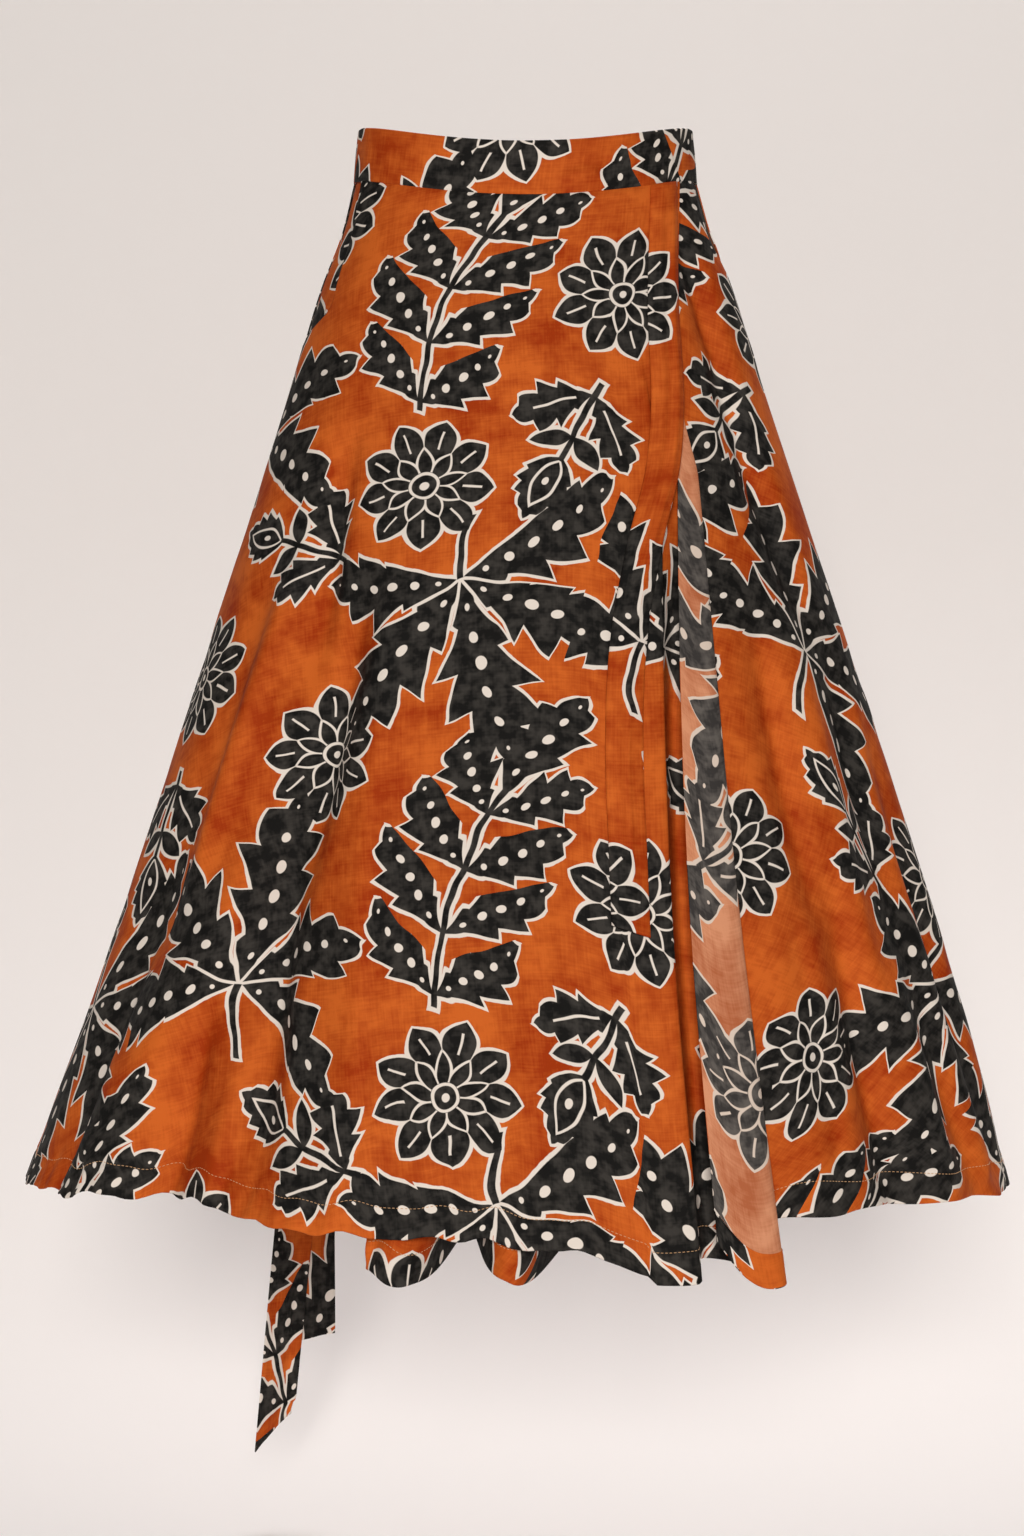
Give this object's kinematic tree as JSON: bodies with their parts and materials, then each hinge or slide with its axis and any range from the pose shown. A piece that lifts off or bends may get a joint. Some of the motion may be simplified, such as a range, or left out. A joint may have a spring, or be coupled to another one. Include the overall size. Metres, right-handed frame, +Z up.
{
  "type": "wrap skirt",
  "caption": "long flared wrap skirt with a contour waistband, hanging ties, slanted side pockets and a turned-back front edge, open at waist and hem",
  "frame": {"origin": "middle of the waist, at half the height of the waistband at its sides, where the wearer's waist holds the skirt", "axes": "+Z is up along the wearer's body, the front of the skirt looks towards -Y and the wearer's left side is towards +X"},
  "size_m": [0.8006, 0.6438, 1.136],
  "materials": {
    "printed_cloth": "soft plain-woven cloth, rust with a charcoal and cream print"
  },
  "bodies": {
    "root": {"waistband_front": "printed_cloth", "waistband_back": "printed_cloth", "waistband_under": "printed_cloth", "front_panel": "printed_cloth", "under_panel": "printed_cloth", "back_panel": "printed_cloth", "pocket_left": "printed_cloth", "pocket_right": "printed_cloth", "tie_front": "printed_cloth", "tie_back_long": "printed_cloth", "tie_back_short": "printed_cloth"}
  },
  "joints": []
}
